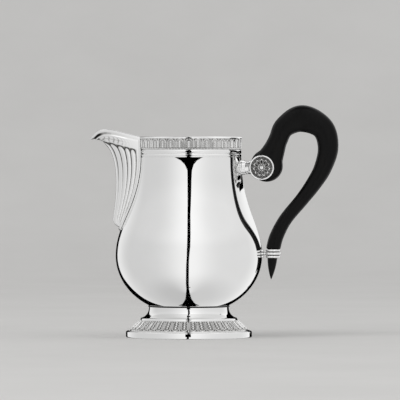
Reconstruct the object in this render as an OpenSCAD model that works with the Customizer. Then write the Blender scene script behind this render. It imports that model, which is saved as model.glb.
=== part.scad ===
// Silver cream jug: a pear-shaped vessel on a spreading foot, with a fluted spout and a black wooden handle.
// The origin is on the vessel's axis at the underside of the foot. The spout points to -X, the handle to +X.

/* [Vessel] */
// Height of the rim above the table
rim_h = 108; // [105:0.5:112]
// Largest radius of the belly
belly_r = 39.5; // [38.5:0.1:40.5]
// Height of the widest part of the belly
belly_z = 44; // [43:0.5:45]
// Radius where the body runs into the neck mouldings
neck_r = 28.4; // [28.2:0.1:28.7]
// Thickness of the silver sheet
wall = 1.1; // [0.8:0.1:1.4]

/* [Rim] */
// Height of the ornamented band under the rim
band_h = 5.8; // [5:0.1:6.2]
// How far the band stands out from the neck tube
band_depth = 0.8; // [0.5:0.1:1.2]
// Height of the upper plain reed
reed_upper_h = 2.1; // [1.8:0.1:2.3]
// Height of the lower plain reed
reed_lower_h = 1.5; // [1:0.1:1.6]

/* [Spout] */
// Half of the angle that the spout takes out of the rim
spout_gap = 22.5; // [21:0.5:24]
// How far each flute stands out
flute_depth = 0.55; // [0.3:0.05:0.8]
// Distance from the axis to the tip of the beak
tip_x = 52.6; // [51:0.1:55]
// Rise of the lip between the rim and the tip
lip_rise = 7.3; // [6:0.1:10]
// Radius of the wires along the lip and around the joint
wire_r = 0.55; // [0.4:0.05:0.8]

/* [Foot] */
// Radius of the foot ring on the table
foot_r = 34; // [33:0.5:36]
// Height of the foot ring
foot_ring_h = 3.4; // [2.8:0.1:3.6]
// Height where the foot is joined to the body
foot_h = 17.2; // [17:0.1:17.4]

/* [Handle] */
// Distance from the vessel's axis to the axis of the upper drum
drum_x = 39.15; // [38.8:0.05:39.6]
// Height of the axis of the upper drum
drum_z = 91.5; // [91:0.1:92]
// Radius of the drum that the handle fits round
drum_r = 6.2; // [5.8:0.1:6.4]
// Radius of the rosettes that hold the handle on the drum
rosette_r = 6.65; // [6.5:0.05:7]
// Half of the handle's depth at the drum
grip_depth = 5.5; // [5:0.1:6]
// Distance from the vessel's axis to the axis of the lower collar
collar_x = 45.5; // [45.2:0.1:45.8]
// Height of the top of the lower collar
collar_z = 47.5; // [47:0.1:48]

/* [Hidden] */
$fn = 180;

silver = "silver";
ebony = [0.08, 0.08, 0.09];
brass = "goldenrod";

// Vessel outline
bowl_bottom_z = 12.5;
neck_z = 97;
tube_r = neck_r - 0.5;
tube_step = 0.3;
curve_steps = 18;
bowl_curve = [[0, bowl_bottom_z], [25.2, bowl_bottom_z], [belly_r, 28], [belly_r, belly_z]];
shoulder_curve = [[belly_r, belly_z], [belly_r, 60.5], [neck_r - 0.2, 69.4], [neck_r, neck_z]];

// Rim outline
rim_wire_h = 0.9;
tube_top = rim_h - rim_wire_h;
band_top = tube_top - 0.1;
band_bottom = band_top - band_h;
reed_upper_z = band_bottom - reed_upper_h / 2 - 0.1;
reed_lower_z = reed_upper_z - reed_upper_h / 2 - reed_lower_h / 2 - 0.3;
reed_depth = 0.5;

// Spout outline: the root line is [half width, height], the front line is [x, height]
root_curve = [[4.2, 59.4], [7.5, 66], [13.4, 92], [10.8, rim_h - 0.4]];
heel_curve = [[-36.4, 58.8], [-38.4, 59.6], [-40.4, 61.2], [-40.3, 64]];
front_curve = [[-40.3, 64], [-37.8, 79.9], [-35.8, 108.6], [-tip_x, rim_h - 1.35]];
heel_share = 0.13;
flute_top = 0.85;
flute_fade = 0.06;
flare_start = 0.84;
lip_turn = 6;
lip_edge = 0.985;
spout_rows = 22;
// Edges of the flutes on each side of the middle one, as a share of the way to the joint
flute_edges = [0.29, 0.5, 0.67, 0.79, 0.91];
flute_steps = 5;
spout_wall = 1;
beak_round = 0.35;
wire_sides = 8;

// Opening in the vessel behind the spout
notch_w = 8;
notch_z = 78;

// Foot outline
scotia_curve = [[21.6, foot_h], [21.3, 14.2], [22.2, 12], [25, 10.6]];
ledge_r = 26;
ledge_z = 9.2;
slope_end_r = foot_r - 2.3;
slope_end_z = 3.9;
band_thick = 0.7;
foot_wall = 1;

// Handle line: [x, z, half thickness, half depth] from the collar up, over the top and down to the drum
handle_stations = [
    [collar_x, collar_z, 3.9, 3.9], [47.4, 54.5, 3.8, 3.9], [52.3, 63.7, 3.6, 4.1], [60.8, 74, 3.7, 4.5],
    [67.1, 82.4, 4.2, 4.8], [72.3, 91.3, 4.8, 5.1], [75.2, 102.6, 5.6, 5.3], [72.1, 113, 6.2, 5.4],
    [61.3, 118, 7.3, 5.5], [51.8, 113.6, 5.8, 5.5], [48.2, 106.6, 5.2, 5.5], [45.9, 100.9, 6, 5.5],
    [43.4, 95.5, 7.4, 5.5]];
handle_steps = 5;
handle_sides = 20;
handle_square = 2.5;
end_x = drum_x + 2.85;
end_z = drum_z + 1.1;
end_r = 8.8;
wood_gap = 0.05;
wood_start = 142;
wood_end = 262;

// Handle fittings
stub_r = 3.9;
stub_end = 30.4;
hub_neck_r = 3.5;
groove_w = 0.4;
rosette_h = 1.2;
rivet_r = 1.2;
rivet_seat = 0.6;
collar_h = 4.8;
collar_r = 3.9;
collar_mid_r = 4.3;
stud_r = 1.2;
finial_len = 11.8;
finial_r = 2.65;
finial_tilt = 3.5;
finial_x = collar_x - 0.4;
stud_into_handle = 8;
stud_into_finial = 4.5;
bead_r = 1;

// Curve helpers
function mix(a, b, t) = a * (1 - t) + b * t;
function bezier(p, t) =
    pow(1 - t, 3) * p[0] + 3 * pow(1 - t, 2) * t * p[1] + 3 * (1 - t) * t * t * p[2] + pow(t, 3) * p[3];
function curve(p, n) = [for (i = [0:n]) bezier(p, i / n)];
function spline(p, i, t) =
    let (a = p[max(i - 1, 0)], b = p[i], c = p[i + 1], d = p[min(i + 2, len(p) - 1)])
    0.5 * (2 * b + (c - a) * t + (2 * a - 5 * b + 4 * c - d) * t * t + (3 * b - a - 3 * c + d) * pow(t, 3));
function spline_path(p, n) =
    concat([for (i = [0:len(p) - 2]) for (j = [0:n - 1]) spline(p, i, j / n)], [p[len(p) - 1]]);
function reversed(p) = [for (i = [len(p) - 1:-1:0]) p[i]];
function unit(v) = v / norm(v);
function inset(p, d) = [for (i = [0:len(p) - 1])
    let (t = unit(p[min(i + 1, len(p) - 1)] - p[max(i - 1, 0)]))
    [max(p[i][0] - t[1] * d, 0), p[i][1] + t[0] * d]];
function signed_pow(v, e) = sign(v) * pow(abs(v), e);
function superellipse(a, b, sides, e) = [for (i = [0:sides - 1])
    let (q = 360 * i / sides) [a * signed_pow(cos(q), 2 / e), b * signed_pow(sin(q), 2 / e)]];

body_outline = concat(curve(bowl_curve, curve_steps),
    [for (i = [1:curve_steps]) bezier(shoulder_curve, i / curve_steps)]);
body_lookup = [for (p = body_outline) [p[1], p[0]]];
function body_r(z) = z > neck_z ? neck_r : lookup(z, body_lookup);

// A closed skin through rings that all have the same even number of points, with each end closed across
module skin(rings) {
    n = len(rings[0]);
    end = n * (len(rings) - 1);
    points = [for (ring = rings) each ring];
    sides = [for (i = [0:n:end - n]) for (j = [0:n - 1])
        let (a = i + j, b = i + (j + 1) % n)
        each [[a, a + n, b], [b, a + n, b + n]]];
    caps = [for (j = [0:n / 2 - 2])
        let (a = j, b = j + 1, c = n - 2 - j, d = n - 1 - j)
        each [[a, b, d], [b, c, d], [end + a, end + d, end + b], [end + b, end + d, end + c]]];
    polyhedron(points, concat(sides, [for (f = caps) if (f[0] != f[1] && f[1] != f[2] && f[0] != f[2]) f]));
}

// A round wire along a path of points
module wire(path, r) {
    last = len(path) - 1;
    skin([for (i = [0:last])
        let (
            t = unit(path[min(i + 1, last)] - path[max(i - 1, 0)]),
            u = unit(cross(t, unit([path[i][0], path[i][1], 0]))),
            v = cross(u, t))
        [for (j = [0:wire_sides - 1])
            path[i] + r * (cos(360 * j / wire_sides) * u + sin(360 * j / wire_sides) * v)]]);
}

// A moulding that runs round the neck and stops at the spout
module neck_ring(outline) {
    rotate_extrude(angle = 360 - 2 * spout_gap, start = 180 + spout_gap) polygon(outline);
}

function reed_outline(z, h) = [for (a = [-90:15:90])
    [tube_r + reed_depth * cos(a), z + h / 2 * sin(a)]];

// The vessel as a solid, to shape the feet of whatever is soldered to it
module body_solid() {
    rotate_extrude() polygon(concat(body_outline, [[0, neck_z]]));
}

module body_shell() {
    inner = inset(body_outline, wall);
    outline = concat(body_outline,
        [[tube_r, neck_z + tube_step], [tube_r, tube_top], [tube_r - wall, tube_top]],
        reversed(inner));
    color(silver) difference() {
        rotate_extrude() polygon(outline);
        translate([-belly_r, -notch_w, notch_z]) cube([belly_r - 10, 2 * notch_w, rim_h]);
        translate([-belly_r, 0, notch_z]) rotate([0, 90, 0]) cylinder(r = notch_w, h = belly_r - 10);
    }
}

module rim_wire() {
    mid = tube_r - 0.1;
    half_w = 0.95;
    color(silver) neck_ring(concat([for (a = [0:15:180])
        [mid + half_w * cos(a), tube_top + 0.3 + (rim_wire_h - 0.3) * sin(a)]],
        [[mid - half_w, tube_top], [mid + half_w, tube_top]]));
}

module rim_band() {
    out = tube_r + band_depth;
    color(silver) neck_ring([[tube_r, band_bottom], [out - 0.2, band_bottom], [out, band_bottom + 0.3],
        [out, band_top - 0.3], [out - 0.2, band_top], [tube_r, band_top]]);
}

module neck_reed_upper() {
    color(silver) neck_ring(reed_outline(reed_upper_z, reed_upper_h));
}

module neck_reed_lower() {
    color(silver) neck_ring(reed_outline(reed_lower_z, reed_lower_h));
}

// Spout surface: s runs across from one joint (-1) to the other (1), t from the heel (0) to the lip (1)
function spout_root(t) =
    let (p = bezier(root_curve, t)) [-sqrt(pow(body_r(p[1]), 2) - p[0] * p[0]), p[0], p[1]];
function spout_front(t) =
    t < heel_share ? bezier(heel_curve, t / heel_share)
    : bezier(front_curve, (t - heel_share) / (1 - heel_share));
function lip_lift(t, b) =
    t < flare_start ? 0 : lip_rise * b * (1 - pow(b, lip_turn)) * pow((t - flare_start) / (1 - flare_start), 1.5);
function spout_point(s, t) =
    let (
        root = spout_root(t), front = spout_front(t), vee = mix(0.1, 0.65, t),
        reach = 1 - (sqrt(s * s + beak_round * beak_round) - beak_round)
            / (sqrt(1 + beak_round * beak_round) - beak_round),
        b = mix(cos(90 * s), reach, vee), y = mix(sin(90 * s), s, vee))
    [mix(root[0], front[0], b), root[1] * y, mix(root[2], front[1], b) + lip_lift(t, b)];
function spout_normal(s, t) =
    let (d = 0.01, s0 = max(s - d, -1), s1 = min(s + d, 1), t0 = max(t - d, 0), t1 = min(t + d, 1))
    unit(cross(spout_point(s1, t) - spout_point(s0, t), spout_point(s, t1) - spout_point(s, t0)));
// Columns of the spout are numbered across it, with flute_steps of them to each flute
spout_edges = concat([-1], [for (e = reversed(flute_edges)) -e], flute_edges, [1]);
spout_strips = len(spout_edges) - 1;
spout_cols = spout_strips * flute_steps;
function column_s(j) =
    let (k = min(floor(j / flute_steps), spout_strips - 1))
    mix(spout_edges[k], spout_edges[k + 1], j / flute_steps - k);
function flute(j, t) =
    let (k = floor(j / flute_steps), v = 2 * (j / flute_steps - k) - 1,
        fade = max(0, min(1, (flute_top - t) / flute_fade)))
    k == 0 || k >= spout_strips - 1 ? 0
    : flute_depth * sqrt(max(0, 1 - v * v)) * fade * min(1, t / heel_share);

module spout() {
    rings = [for (i = [0:spout_rows])
        let (
            t = lip_edge * i / spout_rows,
            outer = [for (j = [0:spout_cols]) let (s = column_s(j))
                spout_point(s, t) - flute(j, t) * spout_normal(s, t)],
            inner = [for (j = [0:spout_cols]) let (s = column_s(j))
                spout_point(s, t) + spout_wall * spout_normal(s, t)])
        concat(outer, reversed(inner))];
    color(silver) skin(rings);
}

module spout_lip_wire() {
    steps = 36;
    color(silver) wire([for (i = [0:steps]) let (s = 2 * i / steps - 1)
        spout_point(s, 1) + spout_wall / 2 * spout_normal(s, 1)], wire_r);
}

module spout_border() {
    steps = 18;
    heel_steps = 6;
    side = [for (i = [steps:-1:0]) spout_root(i / steps * 0.97)];
    heel = [for (i = [1:heel_steps - 1])
        let (a = 180 * i / heel_steps, z = root_curve[0][1] - sin(a), y = root_curve[0][0] * cos(a))
        [-sqrt(pow(body_r(z), 2) - y * y), y, z]];
    other = [for (p = reversed(side)) [p[0], -p[1], p[2]]];
    path = concat(side, heel, other);
    color(silver) wire([for (p = path) p + wire_r * 0.9 * unit([p[0], p[1] * 3, 0])], wire_r);
}

module foot_collar() {
    ring = 0.4;
    color(silver) rotate_extrude() translate([scotia_curve[0][0], foot_h - 0.5])
        polygon([for (a = [0:30:330]) ring * [cos(a), sin(a)]]);
}

module foot_shell() {
    outer = concat(curve(scotia_curve, 12),
        [[ledge_r - 0.4, 10.3], [ledge_r, 9.9], [ledge_r, ledge_z - band_thick],
        [slope_end_r, slope_end_z - band_thick], [slope_end_r, 1], [slope_end_r - foot_wall, 1],
        [slope_end_r - foot_wall, slope_end_z - band_thick - foot_wall / 2],
        [ledge_r - foot_wall, ledge_z - band_thick - foot_wall]]);
    inner = [for (p = reversed(curve(scotia_curve, 12))) [p[0] - foot_wall, p[1] - foot_wall / 2]];
    color(silver) rotate_extrude() polygon(concat(outer, inner));
}

module foot_band() {
    color(silver) rotate_extrude() polygon([[ledge_r, ledge_z - band_thick], [ledge_r, ledge_z],
        [ledge_r + 0.5, ledge_z], [slope_end_r, slope_end_z + 0.2], [slope_end_r, slope_end_z - band_thick]]);
}

module foot_rim() {
    color(silver) rotate_extrude() polygon([[slope_end_r, 0], [foot_r - 0.7, 0], [foot_r, 0.8],
        [foot_r, 2.4], [foot_r - 0.6, foot_ring_h - 0.2], [foot_r - 1.4, foot_ring_h], [slope_end_r, foot_ring_h]]);
}

module upper_stub() {
    color(silver) difference() {
        translate([20, 0, drum_z]) rotate([0, 90, 0]) cylinder(r = stub_r, h = stub_end - 20);
        body_solid();
    }
}

module handle_hub() {
    reach = drum_x - stub_end;
    color(silver) difference() {
        translate([drum_x, 0, drum_z]) union() {
            rotate([90, 0, 0]) cylinder(r = drum_r, h = 2 * grip_depth, center = true);
            translate([-reach, 0, 0]) rotate([0, 90, 0]) cylinder(r = hub_neck_r - 0.6, h = reach);
            translate([groove_w - reach, 0, 0]) rotate([0, 90, 0]) cylinder(r = hub_neck_r, h = reach - 4);
        }
        translate([drum_x, 0, drum_z]) rotate([90, 0, 0])
            cylinder(r = rivet_r, h = 2 * grip_depth + 1, center = true);
    }
}

module hub_rivet() {
    color(brass) translate([drum_x, 0, drum_z]) rotate([90, 0, 0])
        cylinder(r = rivet_r, h = 2 * (grip_depth + rivet_seat), center = true);
}

// A round plate with a raised rim and a domed centre, and a blind seat for the rivet behind it
module rosette() {
    rim_w = 0.8;
    dome_r = 1.9;
    color(silver) difference() {
        rotate_extrude() polygon(concat(
            [[0, 0], [rosette_r - 0.15, 0], [rosette_r, 0.3], [rosette_r, rosette_h - 0.2],
            [rosette_r - 0.25, rosette_h], [rosette_r - rim_w, rosette_h], [rosette_r - rim_w - 0.2, rosette_h - 0.5]],
            [for (a = [0:15:90]) [dome_r * cos(a), rosette_h - 0.5 + 0.5 * sin(a)]]));
        translate([0, 0, -1]) cylinder(r = rivet_r, h = 1 + rivet_seat);
    }
}

module rosette_front() {
    translate([drum_x, -grip_depth, drum_z]) rotate([90, 0, 0]) rosette();
}

module rosette_back() {
    translate([drum_x, grip_depth, drum_z]) rotate([-90, 0, 0]) rosette();
}

module handle_sweep() {
    line = spline_path(handle_stations, handle_steps);
    last = len(line) - 1;
    skin([for (i = [0:last])
        let (
            a = line[max(i - 1, 0)], b = line[min(i + 1, last)],
            t = i == 0 ? [0, 1] : unit([b[0] - a[0], b[1] - a[1]]))
        [for (p = superellipse(line[i][2], line[i][3], handle_sides, handle_square))
            [line[i][0] + t[1] * p[0], p[1], line[i][1] - t[0] * p[0]]]]);
}

// The rounded end of the handle that hugs the drum
module handle_end() {
    rim = [for (p = superellipse(end_r, grip_depth, 40, handle_square)) if (p[0] > 0.01) p];
    outline = concat([[0, -grip_depth]], [for (p = rim) if (p[1] < 0) p], [for (p = rim) if (p[1] >= 0) p],
        [[0, grip_depth]]);
    translate([end_x, 0, end_z]) rotate([90, 0, 0]) rotate_extrude() polygon(outline);
}

module handle() {
    reach = 30;
    color(ebony) difference() {
        union() {
            handle_sweep();
            handle_end();
        }
        translate([drum_x, 0, drum_z]) rotate([90, 0, 0])
            cylinder(r = drum_r + wood_gap, h = 4 * grip_depth, center = true);
        translate([drum_x, 0, drum_z]) rotate([90, 0, 0]) linear_extrude(4 * grip_depth, center = true)
            polygon([[0, 0], reach * [cos(wood_start), sin(wood_start)], reach * [-1, 0],
                reach * [cos(wood_end), sin(wood_end)]]);
        translate([collar_x, 0, collar_z - 1]) cylinder(r = stud_r, h = stud_into_handle + 1);
    }
}

module lower_boss() {
    depth = 0.9;
    width = 3.2;
    reed_h = collar_h / 3;
    color(silver) difference() {
        translate([body_r(collar_z - collar_h / 2) - 2, -width / 2, collar_z - collar_h])
            for (i = [0:2])
                translate([0, 0, i * reed_h + 0.1]) cube([2 + depth, width, reed_h - 0.2]);
        body_solid();
    }
}

module lower_bead() {
    start = body_r(collar_z - collar_h / 2) + 0.9;
    end = collar_x - collar_mid_r;
    color(silver) translate([start, 0, collar_z - collar_h / 2]) rotate([0, 90, 0]) rotate_extrude()
        polygon(concat([[0, 0]], [[0.5, 0]],
            [for (a = [-60:15:60]) [bead_r * cos(a), (end - start) / 2 + bead_r * 0.7 * sin(a)]],
            [[0.5, end - start], [0, end - start]]));
}

module lower_collar() {
    valley = collar_r - 0.6;
    outline = [[stud_r, 0], [collar_r - 0.2, 0], [collar_r, 0.3], [collar_r, 1], [valley, 1.2], [valley, 1.4],
        [collar_mid_r - 0.1, 1.6], [collar_mid_r, 2.4], [collar_mid_r - 0.1, 3.2], [valley, 3.4], [valley, 3.6],
        [collar_r, 3.8], [collar_r, collar_h - 0.3], [collar_r - 0.2, collar_h], [stud_r, collar_h]];
    color(silver) translate([collar_x, 0, collar_z - collar_h]) rotate_extrude() polygon(outline);
}

module handle_finial() {
    outline = concat([[0, 0]], reversed(curve([[0, -finial_len], [1.3, -8.5], [2.3, -5], [finial_r, 0]], 10)));
    color(ebony) difference() {
        translate([finial_x, 0, collar_z - collar_h]) rotate([0, finial_tilt, 0]) rotate_extrude() polygon(outline);
        translate([collar_x - 5, -5, collar_z - collar_h]) cube(10);
        translate([collar_x, 0, collar_z - collar_h - stud_into_finial])
            cylinder(r = stud_r, h = stud_into_finial + 1);
    }
}

module finial_stud() {
    color(brass) translate([collar_x, 0, collar_z - collar_h - stud_into_finial])
        cylinder(r = stud_r, h = collar_h + stud_into_handle + stud_into_finial);
}

body_shell();
rim_wire();
rim_band();
neck_reed_upper();
neck_reed_lower();
spout();
spout_lip_wire();
spout_border();
foot_collar();
foot_shell();
foot_band();
foot_rim();
upper_stub();
handle_hub();
hub_rivet();
rosette_front();
rosette_back();
handle();
lower_boss();
lower_bead();
lower_collar();
handle_finial();
finial_stud();
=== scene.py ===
import math
import bmesh
import bpy
import numpy as np
from mathutils import Matrix, Vector


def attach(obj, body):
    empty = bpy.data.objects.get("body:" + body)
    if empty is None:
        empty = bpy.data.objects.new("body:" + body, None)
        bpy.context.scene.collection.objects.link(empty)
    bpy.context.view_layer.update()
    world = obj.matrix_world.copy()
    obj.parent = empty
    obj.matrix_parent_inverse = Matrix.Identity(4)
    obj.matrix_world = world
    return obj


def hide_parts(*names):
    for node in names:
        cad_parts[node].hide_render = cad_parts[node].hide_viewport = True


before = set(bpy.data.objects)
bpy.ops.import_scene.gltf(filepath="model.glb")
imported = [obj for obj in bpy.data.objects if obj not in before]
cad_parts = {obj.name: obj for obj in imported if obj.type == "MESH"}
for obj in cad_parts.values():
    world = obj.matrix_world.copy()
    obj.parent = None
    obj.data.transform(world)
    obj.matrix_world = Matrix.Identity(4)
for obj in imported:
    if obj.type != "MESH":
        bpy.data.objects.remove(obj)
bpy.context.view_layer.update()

# Shapes are written in millimetres, as in the CAD source, and meshes are made in metres.
MM = 0.001

# Vessel
BELLY_R = 39.5
BELLY_Z = 44
NECK_R = 28.4
NECK_Z = 97
WALL = 1.1
TUBE_R = 27.9
TUBE_TOP = 107.1
RIM_H = 108
BOWL = [(0, 12.5), (25.2, 12.5), (BELLY_R, 28), (BELLY_R, BELLY_Z)]
SHOULDER = [(BELLY_R, BELLY_Z), (BELLY_R, 60.5), (28.2, 69.4), (NECK_R, NECK_Z)]
NOTCH_W = 8
NOTCH_Z = 78

# Rim mouldings
BAND_TOP = 107.0
BAND_BOTTOM = 101.2
REED_UPPER_Z = 100.05
REED_LOWER_Z = 97.95
SPOUT_GAP = 22.5
RIM_LEAVES = 36
LEAF_EDGE_H = 0.44

# Spout
SPOUT_ROOT = [(4.2, 59.4), (7.5, 66), (13.4, 92), (10.8, RIM_H - 0.4)]
SPOUT_HEEL = [(-36.4, 58.8), (-38.4, 59.6), (-40.4, 61.2), (-40.3, 64)]
SPOUT_FRONT = [(-40.3, 64), (-37.8, 79.9), (-35.8, 108.6), (-52.6, 106.65)]
HEEL_SHARE = 0.13
# Edges of the flutes on each side of the middle one, as a share of the way to the joint
FLUTE_EDGES = [0.29, 0.5, 0.67, 0.79, 0.91]
FLUTE_DEPTH = 0.65
FLARE_START = 0.84
LIP_RISE = 7.3
BEAK_ROUND = 0.35
SPOUT_WALL = 1
# Lines of the chasing on the spout, as a share of the way from the heel to the lip
FLUTE_TOP = 0.858
PANEL_LINE = 0.912
PANEL_END = 0.93
LIP_RIDGE = 0.948
LIP_COVE = 0.97

# Foot
FOOT_H = 17.2
SCOTIA = [(21.6, FOOT_H), (21.3, 14.2), (22.2, 12), (25, 10.6)]
LEDGE_R = 26
SLOPE_TOP = (26.5, 9.2)
SLOPE_END = (31.7, 4.1)
FOOT_RIM_R = 33.3
FOOT_LEAVES = 40

# Handle and its fittings
DRUM_X = 39.15
DRUM_Z = 91.5
DRUM_R = 6.2
GRIP = 5.5
ROSETTE_R = 6.65
FIELD_R = 5.7
FIELD_H = 0.42
BOSS_R = 1.4
COLLAR_X = 45.5
COLLAR_Z = 47.5
COLLAR_H = 4.8
FITTING_Z = COLLAR_Z - COLLAR_H / 2
# [x, z, half thickness, half depth] from the collar up, over the top and down to the drum
HANDLE = [(COLLAR_X, COLLAR_Z, 3.9, 3.9), (47.4, 54.5, 3.8, 3.9), (52.3, 63.7, 3.6, 4.1),
          (60.8, 74, 3.7, 4.5), (67.1, 82.4, 4.2, 4.8), (72.3, 91.3, 4.8, 5.1), (75.2, 102.6, 5.6, 5.3),
          (72.1, 113, 6.2, 5.4), (61.3, 118, 7.3, 5.5), (51.8, 113.6, 5.8, 5.5), (48.2, 106.6, 5.2, 5.5),
          (45.9, 100.9, 6, 5.5), (43.4, 95.5, 7.4, 5.5)]


# ---------------------------------------------------------------- curves

def bezier(points, t):
    """Points of a cubic Bezier curve at the parameters t."""
    p = np.asarray(points, float)
    t = np.asarray(t, float)[..., None]
    return ((1 - t) ** 3 * p[0] + 3 * (1 - t) ** 2 * t * p[1]
            + 3 * (1 - t) * t * t * p[2] + t ** 3 * p[3])


def smoothstep(low, high, x):
    """Rises smoothly from 0 at low to 1 at high."""
    t = np.clip((np.asarray(x, float) - low) / (high - low), 0, 1)
    return t * t * (3 - 2 * t)


def mix(a, b, t):
    """Goes from a to b as t goes from 0 to 1."""
    return a * (1 - t) + b * t


def bell(x, middle, width, power=2):
    """A soft bump that is 1 at the middle and nearly 0 at twice the width from it."""
    return np.exp(-((x - middle) / width) ** power)


def unit(v):
    return v / np.maximum(np.linalg.norm(v, axis=-1, keepdims=True), 1e-12)


def arc(x, y, radius, start, end, steps):
    """Points of an arc in a section, with angles in degrees."""
    a = np.radians(np.linspace(start, end, steps))
    return np.stack([x + radius * np.cos(a), y + radius * np.sin(a)], -1)


def spline(stations, steps):
    """A smooth line through every station."""
    p = np.asarray(stations, float)
    rows = []
    for i in range(len(p) - 1):
        a, b, c, d = p[max(i - 1, 0)], p[i], p[i + 1], p[min(i + 2, len(p) - 1)]
        t = np.linspace(0, 1, steps, endpoint=False)[:, None]
        rows.append(0.5 * (2 * b + (c - a) * t + (2 * a - 5 * b + 4 * c - d) * t ** 2
                           + (3 * b - a - 3 * c + d) * t ** 3))
    return np.vstack(rows + [p[-1:]])


def superellipse(a, b, sides, power):
    """Points of a rounded oblong of half sizes a and b, squarer with a higher power."""
    q = np.linspace(0, 2 * np.pi, sides, endpoint=False)
    c, s = np.cos(q), np.sin(q)
    return np.stack([a * np.sign(c) * np.abs(c) ** (2 / power),
                     b * np.sign(s) * np.abs(s) ** (2 / power)], -1)


# The vessel's outline, dense enough to look radii up in
DENSE = np.linspace(0, 1, 4001)
SHOULDER_LINE = bezier(SHOULDER, DENSE)
BOWL_LINE = bezier(BOWL, DENSE)


def body_r(z):
    """Radius of the vessel at a height."""
    z = np.asarray(z, float)
    low = np.interp(z, BOWL_LINE[:, 1], BOWL_LINE[:, 0])
    high = np.interp(z, SHOULDER_LINE[:, 1], SHOULDER_LINE[:, 0])
    return np.where(z < BELLY_Z, low, high)


# ---------------------------------------------------------------- meshes

def grid_faces(rows, cols, wrap_rows=False, wrap_cols=False):
    """Four-sided faces of a grid of points that is stored row by row."""
    i = np.arange(rows if wrap_rows else rows - 1)[:, None]
    j = np.arange(cols if wrap_cols else cols - 1)[None, :]
    below, right = (i + 1) % rows, (j + 1) % cols
    faces = np.stack([i * cols + j, i * cols + right, below * cols + right, below * cols + j], -1)
    return faces.reshape(-1, 4).tolist()


def tube_faces(rows, sides):
    """Faces of a tube of closed rings, with a flat cap on each end."""
    caps = [list(range(sides)), list(range(sides * (rows - 1), sides * rows))]
    return grid_faces(rows, sides, False, True) + caps


def shade(mesh, sharp):
    """Smooth shading, apart from edges that turn by more than an angle in degrees."""
    mesh.shade_smooth()
    mesh.set_sharp_from_angle(angle=math.radians(sharp))


def add_object(name, data):
    obj = bpy.data.objects.new(name, data)
    bpy.context.scene.collection.objects.link(obj)
    return obj


def add_mesh(name, points, faces, tarnish_and_shade=None, sharp=38, weld=1e-7):
    """A smooth mesh from points in millimetres, with coincident points joined and faces turned outwards."""
    mesh = bpy.data.meshes.new(name)
    mesh.from_pydata((np.asarray(points, float).reshape(-1, 3) * MM).tolist(), [], faces)
    if tarnish_and_shade is not None:
        layer = mesh.attributes.new("tarnish_and_shade", "FLOAT", "POINT")
        layer.data.foreach_set("value", np.asarray(tarnish_and_shade, np.float32).ravel())
    bm = bmesh.new()
    bm.from_mesh(mesh)
    bmesh.ops.remove_doubles(bm, verts=bm.verts, dist=weld)
    bmesh.ops.dissolve_degenerate(bm, edges=bm.edges, dist=weld)
    bmesh.ops.recalc_face_normals(bm, faces=bm.faces)
    bm.to_mesh(mesh)
    bm.free()
    shade(mesh, sharp)
    return add_object(name, mesh)


def place(axis, radius, along, angle):
    """Points of a turned shape: radius and distance along the axis, at an angle round it."""
    radius, along, angle = np.broadcast_arrays(radius, along, angle)
    c, s = radius * np.cos(angle), radius * np.sin(angle)
    order = {"x": (along, c, s), "y": (s, along, c), "z": (c, s, along)}[axis]
    return np.stack(order, -1)


def lathe(name, outline, steps=256, axis="z", origin=(0, 0, 0), tarnish_and_shade=None):
    """A turned piece from a closed outline of [radius, distance along the axis]. The optional brightness for
    tarnish and painted shade is given for each point.
    """
    outline = np.asarray(outline, float)
    angle = np.linspace(0, 2 * np.pi, steps, endpoint=False)[:, None]
    points = place(axis, outline[None, :, 0], outline[None, :, 1], angle) + np.asarray(origin, float)
    if tarnish_and_shade is not None:
        tarnish_and_shade = np.broadcast_to(tarnish_and_shade, (steps, len(outline)))
    return add_mesh(name, points, grid_faces(steps, len(outline), True, True), tarnish_and_shade)


def neck_angles(steps):
    """Angles round the neck from one side of the spout to the other."""
    start = math.radians(180 + SPOUT_GAP)
    return np.linspace(start, start + math.radians(360 - 2 * SPOUT_GAP), steps)[:, None]


def neck_ring(name, outline):
    """A moulding round the neck that stops at the spout, with its ends closed."""
    steps = 440
    points = place("z", outline[None, :, 0], outline[None, :, 1], neck_angles(steps))
    return add_mesh(name, points, tube_faces(steps, len(outline)))


def sweep(name, path, section, outward, sharp):
    """A closed section carried along an open path. The section's second axis points outwards."""
    t = unit(np.gradient(path, axis=0))
    u = unit(np.cross(t, outward))
    v = np.cross(u, t)
    points = path[:, None] + section[..., :1] * u[:, None] + section[..., 1:] * v[:, None]
    return add_mesh(name, points, tube_faces(len(path), len(section)), sharp=sharp)


def modified(obj, *modifiers):
    """Applies modifiers, given as (type, settings), and leaves a plain mesh."""
    for kind, settings in modifiers:
        modifier = obj.modifiers.new(kind.lower(), kind)
        for key, value in settings.items():
            setattr(modifier, key, value)
    bpy.context.view_layer.update()
    evaluated = obj.evaluated_get(bpy.context.evaluated_depsgraph_get())
    mesh = bpy.data.meshes.new_from_object(evaluated)
    mesh.name = obj.name
    obj.modifiers.clear()
    obj.data = mesh


def drop(*objects):
    """Deletes objects that only helped to make another."""
    for obj in objects:
        bpy.data.objects.remove(obj)


def joined(name, objects, sharp):
    """One object from several, with their meshes side by side."""
    bm = bmesh.new()
    for obj in objects:
        bm.from_mesh(obj.data)
    mesh = bpy.data.meshes.new(name)
    bm.to_mesh(mesh)
    bm.free()
    shade(mesh, sharp)
    drop(*objects)
    return add_object(name, mesh)


def coat(obj, material):
    """Makes a material the only one of an object."""
    obj.data.materials.clear()
    obj.data.materials.append(material)


def fit(piece, material, node):
    """Gives a finished piece its material, and lets it stand for its CAD node."""
    coat(piece, material)
    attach(piece, "root")
    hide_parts(node)
    return piece


# ---------------------------------------------------------------- materials

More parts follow.
